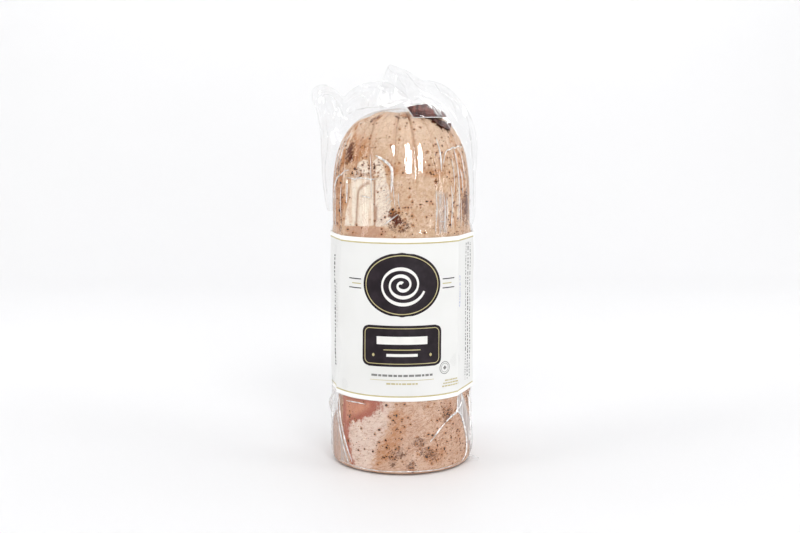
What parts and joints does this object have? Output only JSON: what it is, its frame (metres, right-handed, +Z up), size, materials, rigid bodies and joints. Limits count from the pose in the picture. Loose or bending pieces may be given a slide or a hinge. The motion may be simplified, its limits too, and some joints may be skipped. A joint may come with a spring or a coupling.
{
  "type": "pancetta",
  "caption": "Half roll of cured, pleated pancetta with a domed end, standing on its cut face in a clear vacuum bag with loose crumpled ends, with a paper band round its middle.",
  "frame": {"origin": "centre of the flat cut face that the roll stands on", "axes": "+Z up along the roll's axis to the domed end; -Y is the front, where the band's main print is; +X to the right"},
  "size_m": [0.121, 0.1041, 0.2881],
  "materials": {
    "cured_meat": "tan cased meat with pepper under clear glossy film",
    "band_paper": "smooth white coated paper with dark and gold print",
    "clear_film": "clear glossy vacuum film"
  },
  "bodies": {
    "root": {"bagged_pancetta": "cured_meat", "paper_band": "band_paper"}
  },
  "joints": []
}
